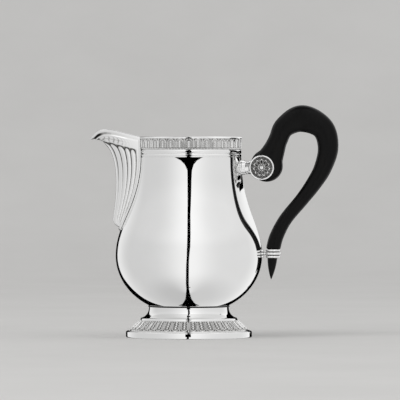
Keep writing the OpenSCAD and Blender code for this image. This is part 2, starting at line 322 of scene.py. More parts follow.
class Nodes:
    """Short ways to add and join shader nodes."""

    def __init__(self, name):
        self.material = bpy.data.materials.new(name)
        self.material.use_nodes = True
        self.tree = self.material.node_tree
        self.shader = self.tree.nodes["Principled BSDF"]
        self.place = self.add("ShaderNodeTexCoord").outputs["Object"]

    def add(self, kind, **settings):
        node = self.tree.nodes.new(kind)
        for key, value in settings.items():
            setattr(node, key, value)
        return node

    def join(self, source, target):
        self.tree.links.new(source, target)

    def stretched(self, scale):
        """Object coordinates with a scale of their own along each axis."""
        node = self.add("ShaderNodeMapping")
        node.inputs["Scale"].default_value = scale
        self.join(self.place, node.inputs["Vector"])
        return node.outputs["Vector"]

    def noise(self, scale, detail=4, roughness=0.55, distortion=0.0, vector=None):
        node = self.add("ShaderNodeTexNoise")
        node.inputs["Scale"].default_value = scale
        node.inputs["Detail"].default_value = detail
        node.inputs["Roughness"].default_value = roughness
        node.inputs["Distortion"].default_value = distortion
        self.join(vector or self.place, node.inputs["Vector"])
        return node.outputs["Fac"]

    def ramp(self, source, *stops):
        """A ramp through stops of (position, colour or grey)."""
        node = self.add("ShaderNodeValToRGB")
        elements = node.color_ramp.elements
        while len(elements) < len(stops):
            elements.new(0.5)
        for element, (position, colour) in zip(elements, stops):
            element.position = position
            element.color = (*colour, 1) if isinstance(colour, tuple) else (colour,) * 3 + (1,)
        self.join(source, node.inputs["Fac"])
        return node.outputs["Color"]

    def bump(self, height, strength, distance):
        node = self.add("ShaderNodeBump")
        node.inputs["Strength"].default_value = strength
        node.inputs["Distance"].default_value = distance
        self.join(height, node.inputs["Height"])
        return node.outputs["Normal"]


def silver_material():
    """Mirror-polished silver with the faint haze and hairlines that polishing leaves."""
    n = Nodes("polished_silver")
    n.shader.inputs["Metallic"].default_value = 1
    haze = n.noise(70, 5, 0.6)
    n.join(n.ramp(haze, (0.3, (0.925, 0.925, 0.92)), (0.7, (0.95, 0.95, 0.947))),
           n.shader.inputs["Base Color"])
    wipes = n.noise(260, 6, 0.65, 0.4, n.stretched((1, 1, 0.18)))
    n.join(n.ramp(wipes, (0.35, 0.028), (0.75, 0.06)), n.shader.inputs["Roughness"])
    hairlines = n.noise(2600, 3, 0.7, 0.2, n.stretched((1, 1, 0.06)))
    n.join(n.bump(hairlines, 0.008, 0.00002), n.shader.inputs["Normal"])
    return n.material


def chased_material():
    """Chased silver: bright on the crests, rougher in the hollows, and darkened there by old tarnish and by
    painted shade.
    """
    n = Nodes("chased_silver")
    n.shader.inputs["Metallic"].default_value = 1
    tarnish_and_shade = n.add("ShaderNodeAttribute", attribute_name="tarnish_and_shade").outputs["Fac"]
    patches = n.noise(420, 4, 0.6)
    sum_node = n.add("ShaderNodeMath", operation="MULTIPLY_ADD")
    n.join(patches, sum_node.inputs[0])
    sum_node.inputs[1].default_value = 0.22
    n.join(tarnish_and_shade, sum_node.inputs[2])
    level = sum_node.outputs[0]
    # Low brightness turns nearly black: tarnish and painted shade in the hollows. The highest brightness is
    # bare polished silver.
    n.join(n.ramp(level, (0.05, (0.02, 0.0195, 0.019)), (0.34, (0.30, 0.297, 0.29)),
                  (0.58, (0.84, 0.837, 0.83)), (0.95, (0.95, 0.949, 0.945))),
           n.shader.inputs["Base Color"])
    n.join(n.ramp(level, (0.15, 0.5), (0.5, 0.2), (0.9, 0.09)), n.shader.inputs["Roughness"])
    grain = n.noise(5200, 3, 0.7)
    n.join(n.bump(grain, 0.12, 0.00003), n.shader.inputs["Normal"])
    return n.material


def ebony_material():
    """Black wood with a fine straight grain, polished to a satin sheen."""
    n = Nodes("ebony")
    grain = n.noise(900, 6, 0.62, 0.8, n.stretched((1, 1, 0.07)))
    n.join(n.ramp(grain, (0.32, (0.0012, 0.0012, 0.0014)), (0.62, (0.0030, 0.0028, 0.0027)),
                  (0.8, (0.007, 0.0062, 0.0055))),
           n.shader.inputs["Base Color"])
    rub = n.noise(120, 4, 0.6)
    n.join(n.ramp(rub, (0.3, 0.27), (0.7, 0.36)), n.shader.inputs["Roughness"])
    pores = n.noise(2400, 4, 0.7, 0.0, n.stretched((1, 1, 0.05)))
    n.join(n.bump(pores, 0.12, 0.00004), n.shader.inputs["Normal"])
    n.shader.inputs["Specular IOR Level"].default_value = 0.13
    return n.material


def brass_material():
    """Plain turned brass, for the pins inside the handle."""
    n = Nodes("turned_brass")
    n.shader.inputs["Metallic"].default_value = 1
    spots = n.noise(800, 4, 0.6)
    n.join(n.ramp(spots, (0.3, (0.62, 0.45, 0.2)), (0.7, (0.8, 0.62, 0.32))),
           n.shader.inputs["Base Color"])
    n.join(n.ramp(spots, (0.3, 0.3), (0.7, 0.2)), n.shader.inputs["Roughness"])
    lines = n.noise(3000, 2, 0.5, 0.0, n.stretched((0.05, 0.05, 1)))
    n.join(n.bump(lines, 0.1, 0.00003), n.shader.inputs["Normal"])
    return n.material


# ---------------------------------------------------------------- vessel

def vessel_outline():
    """Outline of the vessel from the bottom centre to the top of the neck tube."""
    bowl = bezier(BOWL, np.linspace(0, 1, 111) ** 1.15)
    notch = NOTCH_Z - NOTCH_W * np.cos(np.radians(np.linspace(0, 90, 19)))
    levels = np.concatenate([np.linspace(BELLY_Z, NOTCH_Z - NOTCH_W, 61)[1:-1], notch,
                             np.linspace(NOTCH_Z, NECK_Z, 42)[1:]])
    shoulder = np.stack([body_r(levels), levels], -1)
    tube = [(TUBE_R, NECK_Z + 0.3), (TUBE_R, 100), (TUBE_R, 104), (TUBE_R, TUBE_TOP)]
    return np.vstack([bowl, shoulder, tube])


def make_vessel(silver):
    """The pear-shaped shell, open behind the spout."""
    outer = vessel_outline()
    along = unit(np.gradient(outer, axis=0))
    inner = outer + WALL * np.stack([-along[:, 1], along[:, 0]], -1)
    inner[:, 0] = np.maximum(inner[:, 0], 0)
    tube = outer[:, 1] > NECK_Z - 0.5
    inner[tube, 1] = outer[tube, 1]
    inner[tube, 0] = mix(NECK_R - WALL, TUBE_R - WALL, smoothstep(NECK_Z - 0.5, NECK_Z + 4, outer[tube, 1]))
    loop = np.vstack([outer, inner[::-1]])

    columns = 324
    nominal = np.linspace(0, 2 * np.pi, columns + 1)
    side = np.minimum(nominal, 2 * np.pi - nominal)
    drawn = np.clip(1 - side / math.radians(45), 0, 1) * np.sign(np.pi - nominal)
    drop_in = NOTCH_Z - loop[:, 1]
    half = np.where(drop_in > 0, np.sqrt(np.clip(NOTCH_W ** 2 - drop_in ** 2, 0, None)), NOTCH_W)
    half[loop[:, 1] < BELLY_Z] = 0
    edge = np.arcsin(np.clip(half / np.maximum(loop[:, 0], NOTCH_W * 2), 0, 1))
    angle = np.pi + nominal[None, :] + edge[:, None] * drawn[None, :]
    points = place("z", loop[:, :1], loop[:, 1:], angle)

    rows, cols = points.shape[:2]
    faces = grid_faces(rows, cols)
    first = int(np.argmax(outer[:, 1] >= NOTCH_Z - NOTCH_W - 1e-9))
    for i in range(first, len(outer) - 1):
        for c in (0, cols - 1):
            faces.append([row * cols + c for row in (i, i + 1, rows - 2 - i, rows - 1 - i)])
    fit(add_mesh("vessel", points, faces, sharp=50), silver, "body_shell")


def make_rim_wire(silver):
    """The plain bright wire on top of the rim."""
    middle, half, low = TUBE_R - 0.1, 0.95, TUBE_TOP + 0.02
    a = np.radians(np.linspace(0, 180, 25))
    top = np.stack([middle + half * np.cos(a), TUBE_TOP + 0.3 + 0.6 * np.sin(a)], -1)
    foot = [(middle - half + 0.08, low), (middle + half - 0.08, low)]
    fit(neck_ring("rim_fillet", np.vstack([top, foot])), silver, "rim_wire")


def reed_outline(z, height):
    """Outline of a plain reed round the neck."""
    a = np.radians(np.linspace(-90, 90, 21))
    front = np.stack([TUBE_R + 0.5 * np.cos(a) ** 0.8, z + height / 2 * np.sin(a)], -1)
    return np.vstack([front, [(TUBE_R - 0.1, z + height / 2), (TUBE_R - 0.1, z - height / 2)]])


def make_reeds(silver):
    """The two plain reeds under the band, the lower one narrower."""
    fit(neck_ring("reed_upper", reed_outline(REED_UPPER_Z, 2.1)), silver, "neck_reed_upper")
    fit(neck_ring("reed_lower", reed_outline(REED_LOWER_Z, 1.5)), silver, "neck_reed_lower")


# ---------------------------------------------------------------- chased bands

def leaf_height(across, along, pitch, length, blade):
    """Height of a row of tongue-shaped leaves. across runs from a leaf's middle, along from its foot."""
    radius = 0.36 * pitch
    centre = length - radius - 0.30
    beyond = np.maximum(along - centre, 0)
    edge = np.hypot(across, beyond) - radius
    inside = smoothstep(0.18, 0.46, -edge)
    outside = smoothstep(0.12, 0.36, edge)
    rim = LEAF_EDGE_H * bell(edge, 0, 0.19)
    tip = 1 - smoothstep(centre - 0.1, centre + radius * 0.6, along)
    rib = 0.26 * bell(across, 0, 0.24) * tip
    veins = 0.08 * np.cos(2 * np.pi * (along - 1.3 * np.abs(across)) / blade) * tip
    gap = pitch / 2 - np.abs(across)
    dart = 0.32 * bell(gap, 0, 0.19) * smoothstep(0.3, 1.4, along)
    return rim + inside * (0.15 + rib + veins) + outside * (0.08 + dart)


def bead_height(across, along, pitch):
    """Height of a row of small beads, six to a leaf."""
    size = pitch / 6
    local = (across / size - np.floor(across / size) - 0.5) * size
    return np.sqrt(np.clip(0.36 ** 2 - local ** 2 - (along - 0.40) ** 2, 0, None)) * 1.1


def make_rim_band(chased):
    """Upright tongue leaves under the rim, with a row of small beads at their feet."""
    steps = 1440
    angle = neck_angles(steps)
    tall = BAND_TOP - BAND_BOTTOM
    along = np.linspace(0, tall, 50)[None, :]
    turn = angle * RIM_LEAVES / (2 * np.pi)
    pitch = 2 * np.pi * (TUBE_R + 0.4) / RIM_LEAVES
    across = (turn - np.round(turn)) * pitch
    height = mix(bead_height(across, along, pitch), leaf_height(across, along, pitch, tall, 0.95),
                 smoothstep(0.74, 0.95, along))
    height = mix(0.25, height, smoothstep(0, 0.10, along) * smoothstep(0, 0.12, tall - along))
    radius = TUBE_R + 0.08 + height
    front = place("z", radius, BAND_BOTTOM + along, angle)
    back = place("z", TUBE_R - 0.1, np.array([[BAND_TOP, BAND_BOTTOM]]), angle)
    points = np.concatenate([front, back], 1)
    # Brightness follows the height, so the hollows round the leaves and between the beads take tarnish and
    # painted shade.
    tarnish_and_shade = np.concatenate([height / LEAF_EDGE_H, np.full((steps, 2), 0.5)], 1)
    leaves = add_mesh("rim_leaves", points, tube_faces(steps, points.shape[1]), tarnish_and_shade, sharp=80)
    fit(leaves, chased, "rim_band")


def make_foot_band(chased):
    """Leaves that spread down the slope of the foot, with their round tips at the bottom."""
    steps = 1800
    angle = np.linspace(0, 2 * np.pi, steps, endpoint=False)[:, None]
    top, end = np.array(SLOPE_TOP), np.array(SLOPE_END)
    length = np.linalg.norm(end - top)
    slope = (end - top) / length
    out = np.array([-slope[1], slope[0]])
    along = np.linspace(0, length, 58)[None, :]
    radius = top[0] + slope[0] * along
    pitch = 2 * np.pi * radius / FOOT_LEAVES
    turn = angle * FOOT_LEAVES / (2 * np.pi) + 0.5
    across = (turn - np.round(turn)) * pitch
    sunk = 0.12
    height = leaf_height(across, along, pitch, length, 1.6)
    height = mix(0.25, height, smoothstep(0, 0.35, along) * smoothstep(0, 0.2, length - along)) - sunk
    front = place("z", radius + out[0] * height, top[1] + slope[1] * along + out[1] * height, angle)
    back = place("z", np.array([[SLOPE_END[0], LEDGE_R]]),
                 np.array([[SLOPE_END[1] - 0.8, SLOPE_TOP[1] - 0.7]]), angle)
    points = np.concatenate([front, back], 1)
    # Brightness follows the height, so the hollows between the leaves take tarnish and painted shade.
    tarnish_and_shade = np.concatenate([(height + sunk) / 0.50 - 0.10, np.full((steps, 2), 0.5)], 1)
    faces = grid_faces(steps, points.shape[1], True, True)
    leaves = add_mesh("foot_leaves", points, faces, tarnish_and_shade, sharp=80)
    return fit(leaves, chased, "foot_band")


# ---------------------------------------------------------------- spout

def spout_root(t):
    """The joint with the vessel on the spout's +Y side."""
    p = bezier(SPOUT_ROOT, t)
    radius = np.where(p[..., 1] > NECK_Z, NECK_R, body_r(p[..., 1]))
    return np.stack([-np.sqrt(radius ** 2 - p[..., 0] ** 2), p[..., 0], p[..., 1]], -1)


def spout_front(t):
    """The spout's middle line, as [x, z]."""
    heel = bezier(SPOUT_HEEL, np.clip(t / HEEL_SHARE, 0, 1))
    front = bezier(SPOUT_FRONT, np.clip((t - HEEL_SHARE) / (1 - HEEL_SHARE), 0, 1))
    return np.where((t < HEEL_SHARE)[..., None], heel, front)


def spout_point(s, t):
    """A point of the spout. s runs from joint (-1) to joint (1), and t from the heel (0) to the lip (1)."""
    s, t = np.broadcast_arrays(np.asarray(s, float), np.asarray(t, float))
    root, front = spout_root(t), spout_front(t)
    vee = mix(0.1, 0.65, t)
    reach = 1 - (np.hypot(s, BEAK_ROUND) - BEAK_ROUND) / (math.hypot(1, BEAK_ROUND) - BEAK_ROUND)
    b = mix(np.cos(np.pi / 2 * s), reach, vee)
    y = mix(np.sin(np.pi / 2 * s), s, vee)
    flare = np.clip((t - FLARE_START) / (1 - FLARE_START), 0, None)
    lift = LIP_RISE * b * (1 - b ** 6) * flare ** 1.5
    return np.stack([mix(root[..., 0], front[..., 0], b), root[..., 1] * y,
                     mix(root[..., 2], front[..., 1], b) + lift], -1)


def spout_normal(s, t):
    """Unit normal that points into the spout."""
    step = 0.004
    s, t = np.broadcast_arrays(np.asarray(s, float), np.asarray(t, float))
    s0, s1 = np.maximum(s - step, -1), np.minimum(s + step, 1)
    t0, t1 = np.maximum(t - step, 0), np.minimum(t + step, 1)
    return unit(np.cross(spout_point(s1, t) - spout_point(s0, t), spout_point(s, t1) - spout_point(s, t0)))


def flute_number(s):
    """Counts the flutes outwards from the middle one, with whole numbers on their middle lines."""
    edges = [0, *FLUTE_EDGES, 1]
    return np.sign(s) * np.interp(np.abs(s), edges, [0, 0.5, 1.5, 2.5, 3.5, 4.5, 6])


def spout_relief(s, t):
    """How far the chasing stands out of the spout's outside, and how bright its colour is: tarnish and
    painted shade in its hollows, painted shade down one side of each flute, and painted reflections of dark
    surroundings under the lip and near the tip.
    """
    u, side = flute_number(s), np.abs(s)
    v = 2 * (u - np.round(u))
    top = FLUTE_TOP + 0.010 * np.exp(-u ** 2)
    over = np.maximum(t - top + 0.065, 0) / 0.065
    lobe = np.where(np.abs(u) < 4.5, 1 - v ** 2 - over ** 2, -1)
    heel = smoothstep(0, HEEL_SHARE, t)
    flute = FLUTE_DEPTH * np.sqrt(np.clip(lobe, 0, None)) * heel
    below = heel * (1 - smoothstep(top, top + 0.014, t))
    fluted = np.where(np.abs(u) < 4.7, below, 0) * mix(0.6, 1, smoothstep(0.25, 0.8, t))
    # Tarnish and painted shade in the creases between the flutes.
    crease = bell(np.where(lobe < 0, lobe * 0.4, lobe), 0, 0.48) * fluted
    # Painted shade down the side of each flute that faces the middle of the spout.
    shaded_side = 0.8 * bell(v * np.sign(u), -0.95, 0.5) * fluted

    front = 1 - smoothstep(0.6, 0.95, side)
    ridge = 0.3 * bell(t, LIP_RIDGE, 0.008) * front
    cove = -0.24 * bell(t, LIP_COVE, 0.014) * mix(0.5, 1, front)
    panel = smoothstep(top + 0.004, top + 0.020, t) * (1 - smoothstep(PANEL_END, PANEL_END + 0.02, t)) * front
    lines = panel * (0.5 + 0.5 * np.cos(2 * np.pi * (2 * u + 0.3 * np.sin(5 * side + 60 * t)))) ** 2
    groove = bell(t, PANEL_LINE, 0.006) * front
    # Painted shade and painted reflection of dark surroundings in the cove under the lip, and a painted dark
    # spot on the front of the beak.
    under_lip = bell(t, LIP_COVE + 0.002, 0.017, 4)
    under_lip = under_lip * np.interp(side, [0, 0.25, 0.34, 0.5, 0.8], [1.2, 1.2, 0.75, 0.6, 0.3])
    spot = bell(t, 0.928, 0.012) * (1 - smoothstep(0.12, 0.22, side))
    # The engraved lines and the groove are also darkened by tarnish and painted shade.
    dark = np.maximum.reduce([crease, shaded_side, 0.74 * lines, 0.72 * groove, under_lip, spot])
    return flute - 0.06 * crease + ridge + cove + 0.04 * lines, 1 - dark


def make_spout(chased):
    """The fluted spout with its flared beak, as one sheet with chasing on its outside."""
    rows, steps = 230, 26
    edges = np.array([-1, *[-e for e in FLUTE_EDGES[::-1]], *FLUTE_EDGES, 1])
    cols = steps * (len(edges) - 1)
    t = np.linspace(0, 1, rows + 1)[:, None] ** 0.92
    s = np.interp(np.arange(cols + 1) / steps, np.arange(len(edges)), edges)[None, :]
    point, inward = spout_point(s, t), spout_normal(s, t)
    height, bright = spout_relief(s, t)
    outer = point - height[..., None] * inward
    inner = point + SPOUT_WALL * inward
    points = np.concatenate([outer, inner[:, ::-1]], 1)
    tarnish_and_shade = np.concatenate([bright, np.ones_like(bright)], 1)
    n = points.shape[1]
    faces = grid_faces(rows + 1, n, False, True)
    for base in (0, n * rows):
        faces += [[base + j, base + j + 1, base + n - 2 - j, base + n - 1 - j] for j in range(cols)]
    fit(add_mesh("fluted_spout", points, faces, tarnish_and_shade, sharp=60), chased, "spout")


def make_lip_wire(silver):
    """The bright round wire along the beak's edge."""
    s = np.linspace(-1, 1, 181)
    path = spout_point(s, 1.0) + SPOUT_WALL / 2 * spout_normal(s, 1.0)
    outward = unit(path * np.array([1, 1, 0]))
    section = superellipse(0.55, 0.55, 16, 2)
    fit(sweep("lip_wire", path, section, outward, 50), silver, "spout_lip_wire")


def make_spout_border(silver):
    """A double wire round the joint between the spout and the vessel."""
    t = np.linspace(1, 0, 90) * 0.97
    side = spout_root(t)
    a = np.radians(np.linspace(0, 180, 26)[1:-1])
    z, y = SPOUT_ROOT[0][1] - np.sin(a), SPOUT_ROOT[0][0] * np.cos(a)
    heel = np.stack([-np.sqrt(body_r(z) ** 2 - y ** 2), y, z], -1)
    other = side[::-1] * np.array([1, -1, 1])
    line = np.vstack([side, heel, other])
    outward = unit(line * np.array([1, 1, 0]))
    away = unit(line * np.array([1, 3, 0]))
    big, small = arc(-0.18, 0.05, 0.50, 35, 270, 15), arc(0.48, -0.05, 0.34, -90, 120, 11)
    section = np.vstack([small, big])
    path = line + 0.62 * away
    fit(sweep("spout_border_wires", path, section, outward, 70), silver, "spout_border")


# ---------------------------------------------------------------- foot

def make_foot(silver):
    """The foot: a trumpet with a concave neck, a small ledge and a sheet skirt behind the leaves."""
    curve = bezier(SCOTIA, np.linspace(0, 1, 36))
    ledge = np.vstack([arc(25.3, 9.75, 0.8, 88, 20, 10), [(26.12, 9.3), (25.7, 8.6)]])
    outer = np.vstack([curve[:-1], ledge, [(31.5, 3.5), (31.5, 1), (30.7, 1), (30.7, 2.6), (25, 7.5)]])
    inner = curve[::-1] - np.array([1, 0.5])
    return fit(lathe("foot_neck", np.vstack([outer, inner]), 288), silver, "foot_shell")


def make_foot_ring(chased):
    """The ring of the soldered joint between the foot and the vessel, coloured nearly black as a painted
    shadow line where the foot meets the belly.
    """
    ring = lathe("foot_ring", arc(SCOTIA[0][0], FOOT_H - 0.5, 0.4, 0, 345, 24), tarnish_and_shade=-0.2)
    return fit(ring, chased, "foot_collar")


def make_foot_rim(silver):
    """The plain ring that the jug stands on, with two fine grooves under the leaves."""
    inside = SLOPE_END[0]
    top = np.vstack([arc(FOOT_RIM_R, 2.7, 0.7, 0, 80, 8), arc(33.0, 3.46, 0.12, 330, 210, 6),
                     arc(32.55, 3.42, 0.26, -10, 190, 9), arc(32.12, 3.5, 0.12, 330, 210, 6),
                     [(inside, 3.5)]])
    outline = np.vstack([[(inside, 0), (FOOT_RIM_R, 0)], arc(FOOT_RIM_R + 0.1, 0.6, 0.6, -90, 0, 8), top])
    return fit(lathe("foot_rim_ring", outline, 288), silver, "foot_rim")


# ---------------------------------------------------------------- handle fittings

def make_stub(silver):
    """The short stub on the neck, with faint turned rings."""
    x = np.linspace(28.6, 30.15, 22)
    turned = np.stack([3.84 + 0.05 * np.cos(2 * np.pi * x / 0.52), x], -1)
    start, end = 27.5, 30.4
    outline = np.vstack([[(0, start), (3.88, start), (3.88, 28.4)], turned, [(3.78, end), (0, end)]])
    fit(lathe("stub", outline, 128, "x", (0, 0, DRUM_Z)), silver, "upper_stub")


def make_hub(silver):
    """The neck and the drum that the handle's end fits round."""
    edge = 0.3
    inset = DRUM_R - edge
    side = [(0, -GRIP), (inset, -GRIP), (DRUM_R, -GRIP + edge),
            (DRUM_R, GRIP - edge), (inset, GRIP), (0, GRIP)]
    drum = lathe("hub", side, 160, "y", (DRUM_X, 0, DRUM_Z))
    outline = [(0, 30.42), (2.9, 30.42), (2.9, 30.8), (3.4, 30.86), (3.55, 31.1), (3.55, 31.5), (3.4, 31.75),
               (3.15, 31.85), (3.15, 32.05), (3.45, 32.2), (3.5, 34.5), (0, 34.5)]
    neck = lathe("hub_neck", outline, 128, "x", (0, 0, DRUM_Z))
    modified(drum, ("BOOLEAN", {"operation": "UNION", "object": neck, "solver": "EXACT"}))
    drop(neck)
    shade(drum.data, 30)
    fit(drum, silver, "handle_hub")


def petal_height(radius, angle):
    """Height of the rosette's ornament over its sunk field."""
    def offset(count, shift):
        """Distance from the middle line of the nearest of several equal parts."""
        turn = angle * count / (2 * np.pi) + shift
        return (turn - np.round(turn)) * 2 * np.pi / count * radius

    def loops(count, shift, middle, long, wide, tall):
        across = offset(count, shift)
        width = wide * mix(0.7, 1.25, smoothstep(middle - long, middle + long, radius))
        d = np.hypot(across / width, (radius - middle) / long)
        rib = 0.7 * bell(across, 0, 0.10) * (d < 0.7)
        return tall * np.maximum(bell(d, 0.86, 0.20), rib)

    def balls(count, shift, middle, size):
        across = offset(count, shift)
        return np.sqrt(np.clip(size ** 2 - across ** 2 - (radius - middle) ** 2, 0, None))

    petals = loops(11, 0, 2.95, 1.6, 0.74, 0.5)
    sepals = balls(11, 0.5, 4.1, 0.3)
    ring = loops(22, 0.25, 5.1, 0.5, 0.56, 0.3)
    line = 0.2 * bell(radius, 4.62, 0.10)
    dome = 0.3 + 0.5 * np.sqrt(np.clip(1 - (radius / BOSS_R) ** 2, 0, None))
    dimples = 1 - 0.4 * bell(radius, 1.0, 0.16) * (0.5 + 0.5 * np.cos(8 * angle))
    boss = np.where(radius < BOSS_R, dome * dimples, 0)
    return np.maximum.reduce(np.broadcast_arrays(petals, sepals, ring, line, boss))


def make_rosette(name, side, chased, node):
    """A round plate with a raised rim and a flower, on the near (-1) or far (1) face of the drum."""
    radius = np.concatenate([np.linspace(0, FIELD_R, 72), np.linspace(5.75, 5.95, 4),
                             np.linspace(6.05, 6.45, 6), [6.58, ROSETTE_R, ROSETTE_R, 6.5, 0]])[None, :]
    angle = np.linspace(0, 2 * np.pi, 384, endpoint=False)[:, None]
    rim = smoothstep(5.68, 5.95, radius)
    field = FIELD_H + petal_height(radius, angle)
    round_off = 0.18 * np.clip((radius - 6.25) / 0.4, -1.2, 1) ** 2 * rim
    height = mix(field, 1.2 - round_off, rim)
    height[:, -4:] = [0.95, 0.3, 0.0, 0.0]
    # The sunk field between the petals is darkened by tarnish and painted shade, and a ring across the boss
    # is made darker and rougher.
    dark_ring = 0.75 * smoothstep(0.3, 0.7, radius) * (1 - smoothstep(1.3, 1.6, radius))
    tarnish_and_shade = np.clip(mix((height - FIELD_H) / 0.5 - 0.14 - dark_ring, 1, rim), 0, 1)
    points = place("y", radius, side * (GRIP + height), angle) + np.array([DRUM_X, 0, DRUM_Z])
    faces = grid_faces(len(angle), radius.shape[1], True, False)
    fit(add_mesh(name, points, faces, tarnish_and_shade, sharp=60), chased, node)


def make_pad(chased):
    """The pad on the belly: three short reeds, rougher and darkened by tarnish and painted shade in the
    grooves between them.
    """
    sides, half = 28, 0.68
    section = superellipse(1.75, half, sides, 3.0)
    # Each reed is bright along its middle and darkened towards the grooves by tarnish and painted shade.
    crest = 1 - 1.3 * np.abs(section[:, 1] / half) ** 3
    belly = float(body_r(FITTING_Z))
    stations = [(-0.75, 1), (0.3, 1), (0.72, 0.93), (0.88, 0.78), (0.9, 0.6)]
    reeds = []
    for i in range(3):
        z = COLLAR_Z - COLLAR_H + (i + 0.5) * COLLAR_H / 3
        points = [np.stack([np.full(sides, belly + out), section[:, 0] * k, z + section[:, 1] * k], -1)
                  for out, k in stations]
        tarnish_and_shade = np.broadcast_to(crest, (len(stations), sides))
        reeds.append(add_mesh("pad_reed", np.array(points), tube_faces(len(stations), sides), tarnish_and_shade, 50))
    fit(joined("reeded_pad", reeds, 50), chased, "lower_boss")


def make_bead(chased):
    """The flattened bead between the pad and the collar."""
    start, end = float(body_r(FITTING_Z)) + 0.88, COLLAR_X - 4.3 + 0.06
    middle = (start + end) / 2
    ball = arc(0, middle, 1, -62, 62, 17)
    ball[:, 1] = middle + (ball[:, 1] - middle) * 0.72
    outline = np.vstack([[(0, start), (0.5, start)], ball, [(0.5, end), (0, end)]])
    # Brighter further from the axis, so the bead's flanks by the pad and the collar are darkened by tarnish
    # and painted shade.
    crest = outline[:, 0] * 2.2 - 1.2
    fit(lathe("bead", outline, 96, "x", (0, 0, FITTING_Z), crest), chased, "lower_bead")


def make_collar(chased):
    """The collar of three rings at the handle's foot, with the middle one the largest."""
    base, nose = COLLAR_Z - COLLAR_H, 0.62
    a = np.radians(np.linspace(-90, 90, 17))
    rings, crests = [], []
    for i, (radius, tall) in enumerate([(3.9, 1.42), (4.3, 1.5), (3.9, 1.42)]):
        z = base + 0.72 + i * (COLLAR_H - 1.44) / 2
        rings.append(np.stack([radius - nose + nose * np.cos(a) ** 0.75, z + tall / 2 * np.sin(a)], -1))
        # Each ring is bright round its middle and darkened towards the grooves by tarnish and painted shade.
        crests.append(1 - 1.25 * np.abs(np.sin(a)) ** 4)
    outline = np.vstack([[(1.2, base)], *rings, [(1.2, COLLAR_Z)]])
    crest = np.concatenate([[0], *crests, [0]])
    fit(lathe("collar", outline, 160, "z", (COLLAR_X, 0, 0), crest), chased, "lower_collar")


# ---------------------------------------------------------------- handle

def make_handle(ebony):
    """The looped handle: one carved piece whose upper end wraps round the drum."""
    line = spline(HANDLE, 16)
    path = np.stack([line[:, 0], 0 * line[:, 0], line[:, 1]], -1)
    ring = superellipse(1, 1, 56, 2.5)
    section = ring[None] * line[:, None, 2:]
    t = np.gradient(path, axis=0)
    # The first section lies flat on the collar
    t[0] = (0, 0, 1)
    t = unit(t)
    across = np.stack([t[:, 2], 0 * t[:, 0], -t[:, 0]], -1)
    points = path[:, None] + section[..., :1] * across[:, None] + section[..., 1:] * np.array([0, 1, 0])
    handle = add_mesh("looped_handle", points, tube_faces(len(path), len(ring)))

    rim = superellipse(8.8, GRIP, 96, 2.5)
    rim = rim[rim[:, 0] > 0.01]
    rim = rim[np.argsort(rim[:, 1])]
    outline = np.vstack([[(0, -GRIP)], rim, [(0, GRIP)]])
    end = lathe("handle_end", outline, 160, "y", (DRUM_X + 2.85, 0, DRUM_Z + 1.1))
    clear, bore_r = 12, DRUM_R + 0.05
    outline = [(0, -clear), (bore_r, -clear), (bore_r, clear), (0, clear)]
    bore = lathe("bore", outline, 160, "y", (DRUM_X, 0, DRUM_Z))
    # The sector round the drum that the handle leaves open for the stub
    corners = 30 * np.exp(1j * np.radians([142, 180, 220, 262]))
    wedge = [(0, 0)] + [(corner.real, corner.imag) for corner in corners]
    prism = [(DRUM_X + x, y, DRUM_Z + z) for y in (-clear, clear) for x, z in wedge]
    cut = add_mesh("wedge", prism, tube_faces(2, len(wedge)))
    modified(handle,
             ("BOOLEAN", {"operation": "UNION", "object": end, "solver": "EXACT"}),
             ("REMESH", {"mode": "VOXEL", "voxel_size": 0.00032}),
             ("SMOOTH", {"factor": 0.5, "iterations": 44}),
             ("BOOLEAN", {"operation": "DIFFERENCE", "object": bore, "solver": "EXACT"}),
             ("BOOLEAN", {"operation": "DIFFERENCE", "object": cut, "solver": "EXACT"}))
    drop(end, bore, cut)
    shade(handle.data, 42)
    fit(handle, ebony, "handle")


def make_finial(ebony):
    """The pointed drop under the collar."""
    length = 11.8
    side = bezier([(0, -length), (1.3, -8.5), (2.3, -5), (2.65, 0)], np.linspace(0, 1, 40))
    outline = np.vstack([side, [(0, 0)]])
    piece = lathe("finial", outline, 128)
    turn = Matrix.Rotation(math.radians(3.5), 4, "Y")
    move = Matrix.Translation(Vector((COLLAR_X - 0.4, 0, COLLAR_Z - COLLAR_H)) * MM)
    piece.data.transform(move @ turn)
    fit(piece, ebony, "handle_finial")


def dress_pins(brass):
    """The two hidden pins keep their CAD solids."""
    for name in ("hub_rivet", "finial_stud"):
        coat(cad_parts[name], brass)


# ---------------------------------------------------------------- studio

TENT_R = 1.9
# The dark gap: degrees from the horizon in front (up is positive, -90 is straight down), then its middle and
# half width as shares of the tent's radius
GAP = [(62, 0.004, 0.12), (45, 0.004, 0.040), (30, 0.003, 0.042), (16, -0.004, 0.044), (6, -0.016, 0.038),
       (-6, -0.026, 0.033), (-16, -0.032, 0.035), (-30, -0.035, 0.036), (-60, -0.033, 0.032),
       (-76, -0.023, 0.026), (-102, -0.007, 0.0446), (-120, 0, 0.077), (-126, 0, 0.11)]
# The dark card behind the jug: elevation, and how far it reaches to the left and to the right, in degrees
REAR_CARD = [(-54, 6, 6), (-40, 13, 11), (-31, 22, 15), (-26, 28, 18), (-20, 30, 24), (-15, 29, 29),
             (-4, 28, 33), (-0.5, 28, 33), (0.5, 28, 3), (4, 27, 0), (32, 32, 0)]
